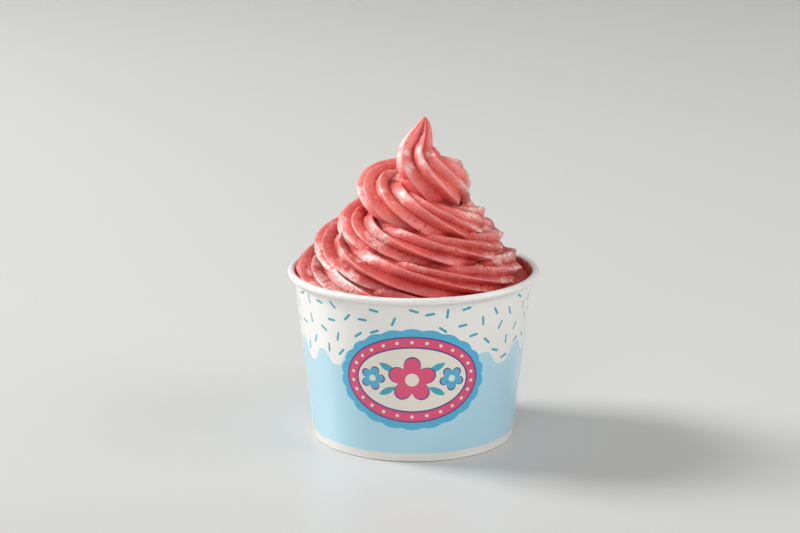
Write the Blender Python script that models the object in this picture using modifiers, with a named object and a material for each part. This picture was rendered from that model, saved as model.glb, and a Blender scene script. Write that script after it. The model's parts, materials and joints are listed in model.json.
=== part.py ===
"""A paper cup of piped sorbet, standing on its base.

Lengths are in millimetres until a mesh is made. +Z is up, the photo looks along +Y, and the origin is
the centre of the base. The sorbet is one thick rope with a star-shaped section, coiled from the cup's
wall up to its tip, over a fill that reaches down to the cup's bottom.
"""

import math
from collections import namedtuple

import bpy
import numpy as np

MM = 0.001  # metres in a millimetre

# ---- the cup ----
CUP_HEIGHT = 76.3  # base to the top of the rolled rim
RIM_OUTER_D = 112.0  # over the roll
BASE_OUTER_D = 90.2
PAPER = 0.5  # thickness of the board
ROLL_R = 1.6  # outside radius of the rolled rim's section
ROLL_END_DEG = -120.0  # where the roll's free edge stops, under the rim
ROLL_STEP_DEG = 30.0
HEM_HEIGHT = 6.2  # the wall's folded-in edge at the base
GAP = 0.3  # kept between neighbouring pieces
BOTTOM_Z = 6.9  # underside of the recessed bottom
SKIRT_Z = 0.9  # lower edge of the bottom's turned-down skirt
SKIRT_BEND_R = 0.8
SEGMENTS = 60  # sides of what is turned

# ---- the rope of sorbet ----
FLUTES = 7  # points of the star nozzle
FLUTE_DEPTH = 0.32  # of the rope's radius
FLUTE_SHAPE = 0.75  # below 1 the crests are sharper than the valleys
FLUTE_UNEVEN = 0.16  # how far a crest may stray, of a flute's width
CREST_LOW, CREST_HIGH = 0.94, 1.05  # the crests' reach, of the rope's radius
EXTRA_TWIST = 0.5  # turns of the section in each turn of the coil
TWIST_FROM = 1.0  # in turns: above this the flutes run straight down from the tip
ROPE_R = 10.6
TIP_R = 0.2
TIP_TURNS = 0.55  # the stretch over which the rope thins to its tip
TIP_SHAPE = 0.82
LEAN_LEFT, LEAN_BACK = 2.0, 2.0  # how much higher the coil lies on those sides
LEAN_FROM, LEAN_TO = 0.9, 1.7  # the turns between which it comes to lean
STEPS_PER_TURN = 22
TIP_STEPS = 10  # down to the first front of the coil
POINTS_PER_FLUTE = 5
SEED = 11

# ---- the joining of the sorbet ----
LENGTH_STEPS = 11  # the rope is joined from lengths of this many steps
LENGTH_START = 0.96  # each starts this much slimmer, inside the end of the one above
WALL_SPACE = 0.15  # the rope stays this much further off the wall than the fill
CORE_LOW_Z, CORE_TOP_Z = 58.0, 126.0  # the solid middle of the coil
CORE_TAPER_Z = 118.0  # above this it closes to a point
CORE_OVER, CORE_OVER_TOP = 5.8, 2.0  # how far it passes the line of the coil's centres, low and high
CORE_STEP_LOW_Z, CORE_STEP_HIGH_Z = 95.0, 102.0  # between these it goes from the one to the other
CORE_LEVELS, CORE_SIDES = 18, 36
HEART = ((2.0, 130.0), (4.6, 127.0), (7.0, 121.0), (10.0, 112.0))  # radii and heights, behind the tip
HEART_ACROSS, HEART_BACK = 7.2, 2.5
FILL_TOP_Z = 72.6
FILL_FOOT, FILL_BEVEL = 0.8, 1.2  # its bevels below and above

# The coil from its tip down. A quarter turn is the back of the photo, a half its left, three quarters
# its front and a whole one its right.
# Shift moves the coil's axis to the right, and tall is the height of the rope's section to its width.
Knot = namedtuple("Knot", "turns reach height shift tall")
COIL = (
    Knot(0.25, 0.0, 144.1, 5.0, 1.0),  # the tip
    Knot(0.50, 3.6, 130.4, 5.2, 1.0),
    Knot(1.00, 10.2, 113.8, 5.2, 1.12),
    Knot(1.50, 18.6, 110.8, 4.2, 0.86),  # the shoulder of the top coil
    Knot(2.00, 21.0, 98.8, 2.6, 0.76),
    Knot(3.00, 29.2, 90.6, 1.2, 0.76),
    Knot(4.00, 38.0, 78.2, 0.0, 0.76),
    Knot(4.50, 41.5, 73.4, 0.0, 0.76),  # against the cup's wall
    Knot(5.40, 41.5, 58.0, 0.0, 0.76),  # sunk in the fill
)
TIP_TURN, FRONT_TURN, END_TURN = COIL[0].turns, 0.75, COIL[-1].turns

# ---- worked out ----
BASE_R = BASE_OUTER_D / 2
ROLL_Z = CUP_HEIGHT - ROLL_R  # the centre of the roll's section
ROLL_CENTRE_R = RIM_OUTER_D / 2 - ROLL_R
WALL_TOP_R = ROLL_CENTRE_R - ROLL_R + PAPER  # outer face of the wall where the roll starts
WALL_LEAN = (WALL_TOP_R - BASE_R) / ROLL_Z
FLOOR_Z = BOTTOM_Z + PAPER  # upper face of the bottom


def wall_outer(height):
    return BASE_R + WALL_LEAN * height


def wall_middle(height):
    return wall_outer(height) - PAPER / 2


def wall_inner(height):
    return wall_outer(height) - PAPER


# ---- making objects ----
def material(name, colour, roughness):
    made = bpy.data.materials.new(name)
    made.use_nodes = True
    shader = made.node_tree.nodes["Principled BSDF"]
    shader.inputs["Base Color"].default_value = (*colour, 1.0)
    shader.inputs["Roughness"].default_value = roughness
    made.diffuse_color = (*colour, 1.0)
    return made


def mesh_object(name, points, edges, faces, place):
    """Points in millimetres."""
    data = bpy.data.meshes.new(name)
    data.from_pydata([tuple(float(c) * MM for c in point) for point in points], edges, faces)
    data.update()
    thing = bpy.data.objects.new(name, data)
    place.objects.link(thing)
    return thing


def turned(name, profile, place):
    """A profile of (radius, height), from its top down the outer side, turned about Z."""
    points = [(radius, 0.0, height) for radius, height in profile]
    edges = [(i, i + 1) for i in range(len(points) - 1)]
    thing = mesh_object(name, points, edges, [], place)
    turn = thing.modifiers.new("turn", "SCREW")
    turn.axis = "Z"
    turn.angle = math.tau
    turn.steps = turn.render_steps = SEGMENTS
    turn.use_merge_vertices = True
    turn.merge_threshold = 1e-6
    return thing


def board(thing):
    """Gives a turned line the thickness of the cup's board, half to each side."""
    thick = thing.modifiers.new("board", "SOLIDIFY")
    thick.thickness = PAPER * MM
    thick.offset = 0.0
    thick.use_even_offset = True
    thick.use_quality_normals = True
    return thing


def settled(thing, made_of, crease_deg=40.0):
    """Makes what the modifiers give the object's own mesh, shaded smooth but for its creases."""
    graph = bpy.context.evaluated_depsgraph_get()
    done = bpy.data.meshes.new_from_object(thing.evaluated_get(graph))
    thing.modifiers.clear()
    thing.data = done
    done.materials.clear()
    done.materials.append(made_of)
    done.shade_smooth()
    done.set_sharp_from_angle(angle=math.radians(crease_deg))
    return thing


def loft(name, rings, place):
    """A closed body through rings of points, with a fan at each end. Each ring runs anticlockwise
    seen from the first ring's side."""
    count = rings.shape[1]
    points = list(rings.reshape(-1, 3)) + [rings[0].mean(axis=0), rings[-1].mean(axis=0)]
    first_hub, last_hub = len(points) - 2, len(points) - 1
    last = (len(rings) - 1) * count
    faces = []
    for i in range(count):
        j = (i + 1) % count
        faces.append((first_hub, i, j))
        faces.append((last_hub, last + j, last + i))
        for here in range(0, last, count):
            there = here + count
            faces.append((here + i, there + i, there + j))
            faces.append((here + i, there + j, here + j))
    return mesh_object(name, points, [], faces, place)


# ---- the cup ----
def arc(across, up, reach, start_deg, end_deg, step_deg):
    """Points of a circle about (across, up), both ends included."""
    steps = max(1, round(abs(end_deg - start_deg) / step_deg))
    angles = np.radians(np.linspace(start_deg, end_deg, steps + 1))
    return [(across + reach * math.cos(a), up + reach * math.sin(a)) for a in angles]


def cup_wall(place):
    """The line of the board: rolled rim, wall, and the hem folded up inside the bottom's skirt."""
    leaf_in = 2 * (PAPER + GAP)
    line = arc(ROLL_CENTRE_R, ROLL_Z, ROLL_R - PAPER / 2, ROLL_END_DEG, 180.0, ROLL_STEP_DEG)
    line.append((wall_middle(HEM_HEIGHT), HEM_HEIGHT))
    line.append((wall_middle(PAPER / 2), PAPER / 2))
    line.append((wall_middle(PAPER / 2) - leaf_in, PAPER / 2))
    line.append((wall_middle(HEM_HEIGHT) - leaf_in, HEM_HEIGHT))
    return board(turned("cup_wall", line, place))


def cup_bottom(place):
    """The recessed disc, with its edge turned down into the hem."""
    skirt_in = GAP + PAPER / 2
    bend_z = BOTTOM_Z + PAPER / 2 - SKIRT_BEND_R
    bend_across = wall_inner(bend_z) - skirt_in - SKIRT_BEND_R
    upright_deg = -math.degrees(math.atan(WALL_LEAN))
    line = [(0.0, BOTTOM_Z + PAPER / 2)]
    line += arc(bend_across, bend_z, SKIRT_BEND_R, 90.0, upright_deg, ROLL_STEP_DEG)
    line.append((wall_inner(SKIRT_Z) - skirt_in, SKIRT_Z))
    return board(turned("cup_bottom", line, place))


# ---- the rope ----
def along(field, turns):
    """A monotone cubic through one field of COIL's knots."""
    xk = np.array([knot.turns for knot in COIL])
    yk = np.array([getattr(knot, field) for knot in COIL])
    step = np.diff(xk)
    slope = np.diff(yk) / step
    tangent = np.concatenate([slope[:1], np.zeros(len(xk) - 2), slope[-1:]])
    for i in range(1, len(xk) - 1):
        if slope[i - 1] * slope[i] > 0:
            before, after = 2 * step[i] + step[i - 1], step[i] + 2 * step[i - 1]
            tangent[i] = (before + after) / (before / slope[i - 1] + after / slope[i])
    i = np.clip(np.searchsorted(xk, turns) - 1, 0, len(step) - 1)
    s = np.clip((turns - xk[i]) / step[i], 0, 1)
    return (
        yk[i] * (1 + 2 * s) * (1 - s) ** 2
        + tangent[i] * step[i] * s * (1 - s) ** 2
        + yk[i + 1] * s * s * (3 - 2 * s)
        - tangent[i + 1] * step[i] * s * s * (1 - s)
    )


def eased(value, start, end):
    """0 up to start, 1 from end on, and a smooth step between them."""
    s = np.clip((value - start) / (end - start), 0, 1)
    return s * s * (3 - 2 * s)


def centre(turns):
    """The middle of the rope, (len(turns), 3)."""
    angle = math.tau * turns
    across, back = np.cos(angle), np.sin(angle)
    lean = eased(turns, LEAN_FROM, LEAN_TO) * (LEAN_BACK * back - LEAN_LEFT * across)
    reach = along("reach", turns)
    return np.stack(
        [along("shift", turns) + reach * across, reach * back, along("height", turns) + lean],
        axis=-1,
    )


def rope_radius(turns):
    drawn = np.clip((turns - TIP_TURN) / TIP_TURNS, 0, 1) ** TIP_SHAPE
    return TIP_R + (ROPE_R - TIP_R) * np.sin(math.pi / 2 * drawn)


def star():
    """Angles and reaches of the section's outline, crest by crest. No two flutes are alike."""
    rng = np.random.default_rng(SEED)
    crest = (np.arange(FLUTES) + rng.uniform(-FLUTE_UNEVEN, FLUTE_UNEVEN, FLUTES)) / FLUTES
    height = rng.uniform(CREST_LOW, CREST_HIGH, FLUTES)
    share = np.arange(POINTS_PER_FLUTE) / POINTS_PER_FLUTE  # from one crest to the next
    width = np.append(crest[1:], crest[0] + 1) - crest
    angle = crest[:, None] + width[:, None] * share
    top = height[:, None] * (1 - share) + np.roll(height, -1)[:, None] * share
    reach = top * (1 - FLUTE_DEPTH * np.sin(math.pi * share) ** FLUTE_SHAPE)
    return angle.reshape(-1) * math.tau, reach.reshape(-1)


def rope_rings(turns):
    """The rope's outline at each of the turns: (len(turns), points of the star, 3)."""
    ahead = centre(np.maximum(turns - 1e-3, TIP_TURN)) - centre(turns + 1e-3)
    ahead /= np.linalg.norm(ahead, axis=1, keepdims=True)
    # The nozzle doesn't turn, so a flute keeps its compass direction but for the twist.
    angle, reach = star()
    angle = angle - EXTRA_TWIST * math.tau * np.maximum(turns, TWIST_FROM)[:, None]
    level = np.stack([np.cos(angle), np.sin(angle), np.zeros_like(angle)], axis=-1)
    # The least turn that brings +Z to the rope's direction, applied to the level outline.
    axis = np.stack([-ahead[:, 1], ahead[:, 0], np.zeros(len(turns))], axis=-1)[:, None]
    cosine = ahead[:, 2][:, None, None]
    along_axis = (axis * level).sum(-1, keepdims=True)
    outline = level * cosine + np.cross(axis, level) + axis * along_axis / (1 + cosine)
    outline *= reach[None, :, None] * rope_radius(turns)[:, None, None]
    outline[..., 2] *= along("tall", turns)[:, None]
    return centre(turns)[:, None] + outline


def held_in(points):
    """Draws points below the rim in from the cup's inner wall."""
    high = points[..., 2]
    room = np.where(high < CUP_HEIGHT, wall_inner(high) - GAP - WALL_SPACE, np.inf)
    reach = np.hypot(points[..., 0], points[..., 1])
    points[..., :2] *= np.minimum(1.0, room / np.maximum(reach, 1e-6))[..., None]
    return points


def rope(place):
    """The rope as closed lengths that overlap end to end."""
    tip = np.linspace(TIP_TURN, FRONT_TURN, TIP_STEPS, endpoint=False)
    turns = np.append(tip, np.arange(FRONT_TURN, END_TURN, 1 / STEPS_PER_TURN))
    rings = held_in(rope_rings(turns))
    for start in range(0, len(turns) - 1, LENGTH_STEPS):
        stop = min(start + LENGTH_STEPS, len(turns) - 1)
        length = rings[start : stop + 1].copy()
        if start > 0:
            hub = length[0].mean(axis=0)
            length[0] = hub + (length[0] - hub) * LENGTH_START
        if stop < len(turns) - 1:
            halfway = (rings[stop] + rings[stop + 1]) / 2
            length = np.append(length, halfway[None], axis=0)
        loft(f"rope_{start}", length, place)


# ---- the rest of the sorbet ----
def core(place):
    """The middle of the coil. It follows the line of the rope's centres, so nothing is hollow."""
    levels = np.linspace(CORE_TOP_Z, CORE_LOW_Z, CORE_LEVELS)
    closing = np.clip((CORE_TOP_Z + 1 - levels) / (CORE_TOP_Z + 1 - CORE_TAPER_Z), 0, 1)
    high = eased(levels, CORE_STEP_LOW_Z, CORE_STEP_HIGH_Z)
    over = CORE_OVER + (CORE_OVER_TOP - CORE_OVER) * high
    rings = np.zeros((CORE_LEVELS, CORE_SIDES, 3))
    for side in range(CORE_SIDES):
        share = side / CORE_SIDES
        passes = np.arange(math.ceil(END_TURN)) + share
        passes = passes[(passes > TIP_TURN + 0.2) & (passes < END_TURN)]
        passes = passes[np.argsort(centre(passes)[:, 2])]
        heights = centre(passes)[:, 2]
        reach = (np.interp(levels, heights, along("reach", passes)) + over) * closing
        rings[:, side, 0] = np.interp(levels, heights, along("shift", passes))
        rings[:, side, 0] += reach * math.cos(math.tau * share)
        rings[:, side, 1] = reach * math.sin(math.tau * share)
        rings[:, side, 2] = levels
    return loft("core", held_in(rings), place)


def heart(place):
    """The middle of the top coil, so that no gap shows behind the tip."""
    made = turned("heart", [(0.0, HEART[0][1]), *HEART, (0.0, HEART[-1][1])], place)
    made.location = (HEART_ACROSS * MM, HEART_BACK * MM, 0.0)


def fill(place):
    """What lies below the coil, down to the cup's bottom."""
    foot = FLOOR_Z + GAP
    outline = [
        (0.0, FILL_TOP_Z),
        (wall_inner(FILL_TOP_Z) - GAP - FILL_BEVEL, FILL_TOP_Z),
        (wall_inner(FILL_TOP_Z - FILL_BEVEL) - GAP, FILL_TOP_Z - FILL_BEVEL),
        (wall_inner(foot + FILL_FOOT) - GAP, foot + FILL_FOOT),
        (wall_inner(foot) - GAP - FILL_FOOT, foot),
        (0.0, foot),
    ]
    return turned("fill", outline, place)


def sorbet(place):
    pieces = bpy.data.collections.new("sorbet_pieces")
    bpy.context.scene.collection.children.link(pieces)
    rope(pieces)
    core(pieces)
    heart(pieces)
    whole = fill(place)
    whole.name = "sorbet"
    join = whole.modifiers.new("join", "BOOLEAN")
    join.operation = "UNION"
    join.operand_type = "COLLECTION"
    join.collection = pieces
    join.solver = "MANIFOLD"
    settled(whole, material("sorbet_red", (0.55, 0.12, 0.11), 0.45))
    for piece in list(pieces.objects):
        bpy.data.objects.remove(piece, do_unlink=True)
    bpy.data.collections.remove(pieces)
    return whole


for old in list(bpy.data.objects):
    bpy.data.objects.remove(old, do_unlink=True)
home = bpy.data.collections.new("cup_of_sorbet")
bpy.context.scene.collection.children.link(home)
settled(cup_wall(home), material("cup_paper", (0.86, 0.86, 0.84), 0.45))
settled(cup_bottom(home), material("cup_bottom_board", (0.84, 0.84, 0.82), 0.55))
sorbet(home)
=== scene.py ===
import itertools
import json
import math
from collections import namedtuple

import bmesh
import bpy
import numpy as np
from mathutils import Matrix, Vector, geometry, kdtree

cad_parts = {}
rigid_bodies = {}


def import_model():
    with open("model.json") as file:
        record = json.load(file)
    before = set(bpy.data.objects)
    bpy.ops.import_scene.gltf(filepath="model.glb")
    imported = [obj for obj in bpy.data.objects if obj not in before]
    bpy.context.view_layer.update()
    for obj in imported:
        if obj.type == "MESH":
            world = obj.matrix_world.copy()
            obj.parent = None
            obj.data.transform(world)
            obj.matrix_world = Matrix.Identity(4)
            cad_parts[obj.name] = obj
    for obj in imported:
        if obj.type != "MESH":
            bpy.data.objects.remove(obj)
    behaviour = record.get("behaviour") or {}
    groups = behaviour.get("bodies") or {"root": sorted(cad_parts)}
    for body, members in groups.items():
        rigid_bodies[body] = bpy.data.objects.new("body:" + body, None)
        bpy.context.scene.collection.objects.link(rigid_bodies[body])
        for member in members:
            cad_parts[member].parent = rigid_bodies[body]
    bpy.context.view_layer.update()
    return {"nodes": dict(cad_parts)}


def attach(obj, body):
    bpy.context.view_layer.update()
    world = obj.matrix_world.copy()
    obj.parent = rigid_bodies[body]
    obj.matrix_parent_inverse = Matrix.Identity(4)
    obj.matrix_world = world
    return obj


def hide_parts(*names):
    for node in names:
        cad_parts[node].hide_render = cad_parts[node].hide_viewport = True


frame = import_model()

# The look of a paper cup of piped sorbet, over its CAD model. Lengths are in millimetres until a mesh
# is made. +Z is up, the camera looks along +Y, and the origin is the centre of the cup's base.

MM = 0.001  # metres in a millimetre

# ---- the camera ----
CAMERA_FAR = 1000.0  # from the point it looks at
CAMERA_UP_DEG = 14.41
CAMERA_AIM = (-5.94, 0.0, 76.2)
CAMERA_LENS, CAMERA_SENSOR = 100.96, 36.0
CAMERA_NEAR_CLIP, CAMERA_FAR_CLIP = 0.05, 50.0  # in metres

# ---- the cup, as in the CAD model ----
CUP_HEIGHT, RIM_OUTER_D, BASE_OUTER_D = 76.3, 112.0, 90.2
PAPER, ROLL_R, ROLL_END_DEG = 0.5, 1.6, -120.0
HEM_HEIGHT, GAP, BOTTOM_Z = 6.2, 0.3, 6.9
BASE_R = BASE_OUTER_D / 2
ROLL_Z = CUP_HEIGHT - ROLL_R
ROLL_CENTRE_R = RIM_OUTER_D / 2 - ROLL_R
WALL_LEAN = (ROLL_CENTRE_R - ROLL_R + PAPER - BASE_R) / ROLL_Z
FLOOR_Z = BOTTOM_Z + PAPER

# ---- the cup's finish ----
TURN_STEPS = 360
FOLD_R = 0.55  # of the hem's two folds, at the middle of the board
ROLL_STEP_DEG, FOLD_STEP_DEG = 10.0, 15.0  # between the points of the board's section
WALL_STEPS, HEM_STEPS = 20, 4  # of its straight stretches
SEAM_WIDE, SEAM_PROUD, SEAM_EDGE = 8.0, 0.28, 0.6  # the glued overlap down the back
SEAM_LOW_Z, SEAM_HIGH_Z, SEAM_FADE = 2.0, 72.0, 2.0  # its ends, and how far it eases out there
SEAM_SHARES = (0.25, 0.5, 0.75)  # the places of points across each of its two edges
PRINT_LOW_Z, PRINT_HIGH_Z = 1.2, 73.0
PRINT_ROW = 2.4  # between the printed wall's rows of points
POINT_CLEAR = 0.4  # around a printed edge's points
PRINT_EXACT = 1e-5  # printed points nearer than this are one
JOINED = 0.002  # and the wall's points nearer than this
BAND_TOP_Z = 4.0  # the bare band round the foot
FIBRE_SIZE, FIBRE_DETAIL, FIBRE_ROUGH = 0.5, 3.0, 0.6
FIBRE_BUMP, FIBRE_HEIGHT = 0.25, 0.02
CLOUD_SIZE, GLOSS_UNEVEN, COAT_ROUGH = 6.0, 0.15, 0.26

# ---- the print: icing with sprinkles over a pale field, and a badge ----
DRIPS_Z, DRIP_LOW, DRIP_HIGH = 44.9, 2.2, 4.6
DRIP_NARROW, DRIP_BROAD = 6.5, 12.5  # from a drip's end to the next bump
DRIP_SEED = 8
SPRINKLE_LONG, SPRINKLE_WIDE = 4.4, 1.15
SPRINKLE_APART = 6.6  # the least distance between two middles
SPRINKLE_TOP_Z, SPRINKLE_CLEAR = 71.5, 0.6
SPRINKLE_SEED, SPRINKLE_TRIES = 4, 6000
BADGE_DEG, BADGE_Z = 269.1, 38.6
BADGE_WIDE, BADGE_HIGH = 66.0, 47.0
SCALLOPS, SCALLOP_DEEP, SCALLOP_POINTS = 22, 0.035, 12
Field = namedtuple("Field", "ink narrower points")  # narrower than the badge
BADGE_FIELDS = (
    Field("purple_ink", 7.0, 128),
    Field("pink_ink", 8.6, 128),
    Field("purple_ink", 16.4, 112),
    Field("cream_ink", 18.0, 112),
)
DOTS, DOT_D, DOTS_NARROWER = 26, 1.5, 12.5
Blossom = namedtuple("Blossom", "across wide ink turn")
BLOSSOMS = (
    Blossom(0.0, 20.0, "pink_ink", 0.3),
    Blossom(17.4, 10.0, "blue_ink", 0.9),
    Blossom(-17.4, 10.0, "blue_ink", 0.0),
)
PETALS, PETAL_WAIST, PETAL_FULL = 5, 0.52, 0.7
BLOSSOM_EDGE, BLOSSOM_EYE = 1.4, 0.3  # how much wider its dark edge is, and its eye's share of it
BLOSSOM_POINTS, EYE_POINTS, DOT_POINTS = 100, 28, 14
LEAF_STEPS, SPRINKLE_STEPS = 12, 6  # along a leaf's side, and round a sprinkle's end
LEAF_LONG, LEAF_WIDE, LEAF_FULL = 8.2, 3.0, 0.8
Leaf = namedtuple("Leaf", "across up turn")
LEAVES = (Leaf(7.2, 3.5, 0.5), Leaf(7.2, -3.5, -0.5), Leaf(-7.2, 3.5, 2.64), Leaf(-7.2, -3.5, 3.64))

# ---- the rope of sorbet, as in the CAD model ----
FLUTES, FLUTE_DEPTH, FLUTE_SHAPE, FLUTE_UNEVEN = 7, 0.42, 1.15, 0.16
CREST_LOW, CREST_HIGH = 0.94, 1.05
EXTRA_TWIST, TWIST_FROM = 0.5, 1.0
ROPE_R, TIP_R, TIP_TURNS, TIP_SHAPE = 10.6, 0.2, 0.55, 0.82
LEAN_LEFT, LEAN_BACK, LEAN_FROM, LEAN_TO = 2.0, 2.0, 0.9, 1.7
STAR_SEED = 11
CORE_LOW_Z, CORE_TOP_Z, CORE_TAPER_Z = 58.0, 126.0, 118.0
CORE_OVER, CORE_OVER_TOP, CORE_STEP_LOW_Z, CORE_STEP_HIGH_Z = 2.5, 0.0, 95.0, 102.0
CORE_LEVELS, CORE_SIDES = 40, 72
CORE_CLOSED, CORE_TURNS = 1.0, 0.2  # above its top, where it would close, and from the tip's turn
FILL_TOP_Z, FILL_FOOT, FILL_BEVEL = 72.6, 0.8, 1.2
FILL_STEPS = 180
WALL_SPACE = 0.15  # which the rope keeps off the wall, beyond the gap
Knot = namedtuple("Knot", "turns reach height shift tall")
COIL = (
    Knot(0.25, 0.0, 144.1, 5.0, 1.0),  # the tip
    Knot(0.50, 3.6, 130.4, 5.2, 1.0),
    Knot(1.00, 10.2, 113.8, 5.2, 1.12),
    Knot(1.50, 18.6, 110.8, 4.2, 0.86),  # the shoulder of the top coil
    Knot(2.00, 21.0, 98.8, 2.6, 0.76),
    Knot(3.00, 29.2, 90.6, 1.2, 0.76),
    Knot(4.00, 38.0, 78.2, 0.0, 0.76),
    Knot(4.50, 41.5, 73.4, 0.0, 0.76),  # against the cup's wall
    Knot(5.40, 41.5, 58.0, 0.0, 0.76),  # sunk in the fill
)
TIP_TURN, END_TURN = COIL[0].turns, COIL[-1].turns

# ---- the sorbet's finish ----
RING_SPACE = 0.5  # between the rope's rings
LENGTH_STEPS = 20000  # in which the rope's length is measured
AHEAD = 1e-3  # in turns, either way, for the rope's direction
FLUTE_POINTS = 20
CREST_ROUND, CREST_POWER = 0.03, 20.0  # rounds the crests' sharp edge
LENGTH_RINGS = 170  # the rope is joined from lengths of this many rings
LENGTH_TUCK = (0.02, 0.05, 0.09)  # how much slimmer a length's last rings are, inside the next
FLUTES_APART = 50.0  # in the noise along the rope, so that no two flutes are alike
WOBBLE, WOBBLE_LONG = 0.035, 9.0  # the crests' unevenness along the rope, of its radius
WOBBLE_FINE, WOBBLE_FINE_LONG = 0.0175, 3.0
RAG, RAG_LONG = 0.08, 1.7  # their raggedness on the right, where the coils have torn edges
WORN, WORN_LONG, WORN_MOST = 0.08, 6.5, 0.4  # and how far they are worn down there
BLUNT = 0.45  # share of the flutes' depth that is lost there
# Where the right starts and is full, as the cosine of the way round, and in turns from the tip.
RAG_SIDE, RAG_TURNS = (0.35, 0.9), (0.8, 1.0)
BLUNT_SIDE = (-0.3, 0.8)
TEAR_SIDE, TEAR_TURNS = (0.6, 1.0), (0.80, 0.95)
RIPPLE, RIPPLE_SIZE = 0.10, 2.4  # unevenness of the whole surface, in millimetres
FROST, FROST_SIZE, FROST_PATCH = 0.15, 1.0, 9.0  # and of its frosted patches
FROST_EDGE = (-0.1, 0.5)  # of the patches, in their noise
TEAR, TEAR_SIZE, TEAR_PATCH = 0.45, 1.2, 5.0  # and of its torn crests
TEAR_LEVEL, TEAR_SOFT = 0.7, 0.5  # the noise from which a crest is torn, and up to full
Spot = namedtuple("Spot", "across back height size")
FROSTED_HIGHLIGHT_SPOTS = (  # spots where frost shows pale on the left of the coils, and ice on their right: painted highlights, set where the coils' faces catch the light
    Spot(-43, -8, 84, 6),
    Spot(-41, -26, 77, 7),
    Spot(-44, -12, 79, 4),
    Spot(-33, -5, 98, 4),
    Spot(-32, -10, 93, 4),
    Spot(-24, -5, 110, 4),
    Spot(-23, -9, 105, 4),
    Spot(-14, -17, 114, 3),
    Spot(-3, -10, 131, 3),
    Spot(-2, -13, 124, 3),
    Spot(-8, -2, 122, 6),
    Spot(-7, -2, 116, 5),
    Spot(5, -10, 131, 4),
    Spot(5, -15, 127, 4),
    Spot(-6, -22, 114, 4),
    Spot(-8, -20, 117, 3),
    Spot(-18, -23, 97, 5),
    Spot(-14, -30, 96, 4),
    Spot(-23, -31, 89, 4),
    Spot(-26, -29, 91, 3),
    Spot(-31, -24, 88, 4),
    Spot(-35, -29, 79, 7),
    Spot(-30, -35, 77, 7),
    Spot(-25, -39, 76, 5),
    Spot(33, -5, 95, 4),
    Spot(19, -6, 105, 4),
    Spot(25, 5, 104, 4),
    Spot(25, -19, 101, 3),
    Spot(37, -16, 84, 4),
    Spot(30, -25, 84, 3),
)
SPOT_RAG, SPOT_EDGE = 0.5, (0.4, 1.2)  # of a spot's edge, as shares of its size
SPOT_ICE = 0.7  # share of a spot's ice, a painted highlight, that also lies in its flutes
HEART = ((10.0, 112.0), (7.0, 121.0), (4.6, 127.0), (2.0, 130.0))  # radii and heights
HEART_ACROSS, HEART_BACK = 7.2, 2.5
SMEAR_DEG, SMEAR_RINGS, SMEAR_ROWS = (-35.0, 88.0), 160, 6
SMEAR_LOW_Z, SMEAR_LEAST_Z, SMEAR_TOP_Z = 68.0, 69.0, 75.0
SMEAR_THIN, SMEAR_THICK = 0.3, 1.6  # its thickness at its ends, and what the middle adds
SMEAR_END, SMEAR_UPPER, SMEAR_FALL = 0.6, 0.3, 0.3  # its ends' share, and its upper edge
SMEAR_RAG, SMEAR_RAG_LONG = 0.5, 4.0
# Painted shade: the crevices' depth is a mask that darkens the sorbet's colour between the coils and deep in
# the flutes.
CREVICE_ROUNDS = 30  # of evening out, which the crevices are measured against
CREVICE_FROM, CREVICE_FULL = 0.15, 0.9  # how far below the evened surface

# ---- the sorbet's colours ----
DEEP_RED = (0.54, 0.036, 0.030, 1.0)
MIDDLE_RED, MIDDLE_AT = (0.90, 0.158, 0.134, 1.0), 0.35  # and its place from deep to pale
PALE_RED = (0.95, 0.40, 0.36, 1.0)
# Pale ice on the torn crests, and painted highlights in the frosted spots.
ICE_AND_HIGHLIGHT_PINK = (0.96, 0.66, 0.61, 1.0)
PIT_RED = (0.40, 0.05, 0.045, 1.0)
# Painted shade, laid over the colour in the crevices.
CREVICE_SHADE_RED, CREVICE_SHADE_SHARE = (0.26, 0.010, 0.009, 1.0), 0.75
PATCH_SIZE, GRAIN_SIZE, FLECK_SIZE = 6.0, 0.6, 0.9
PALER_ALL, PALER_PATCH, PALER_GRAIN = 0.10, 0.3, 0.5  # how far from deep to pale, and what adds to it
# The crests' paler line is a painted highlight. The frost's paleness is partly its own and partly painted
# highlight in the frosted spots.
CREST_HIGHLIGHT_PALER, PALER_FROST_AND_HIGHLIGHT = 0.28, 0.12
PALER_Z, PALER_Z_ADDS = (0.080, 0.125), (-0.52, -0.20)  # heights in metres, and what they add
CREST_HIGHLIGHT_SHARP = 4.0  # keeps the crests' paler line, a painted highlight, narrow
FLECK_EDGE = (0.36, 0.54)  # of the ice, in its noise
PIT_EVERY, PIT_R = 3.0, 0.17  # the pits' spacing, and their radius as a share of it
PITTED_EDGE = (0.50, 0.56)  # of the pitted patches, in their noise
GRAIN_HEIGHT, PIT_DEEP = 0.38, -1.2  # the pits' depth as a share of the grain's height
DULL_PATCH, DULL, ICE_GLOSS = (0.35, 0.65), (0.26, 0.40), -0.14
WET_CREST = (0.15, 0.7)  # the crests' share from which the surface is wet, and fully so


def wall_outer(height):
    return BASE_R + WALL_LEAN * height


def wall_inner(height):
    return wall_outer(height) - PAPER


def eased(value, start, end):
    """0 up to start, 1 from end on, and a smooth step between them."""
    s = np.clip((value - start) / (end - start), 0, 1)
    return s * s * (3 - 2 * s)


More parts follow.
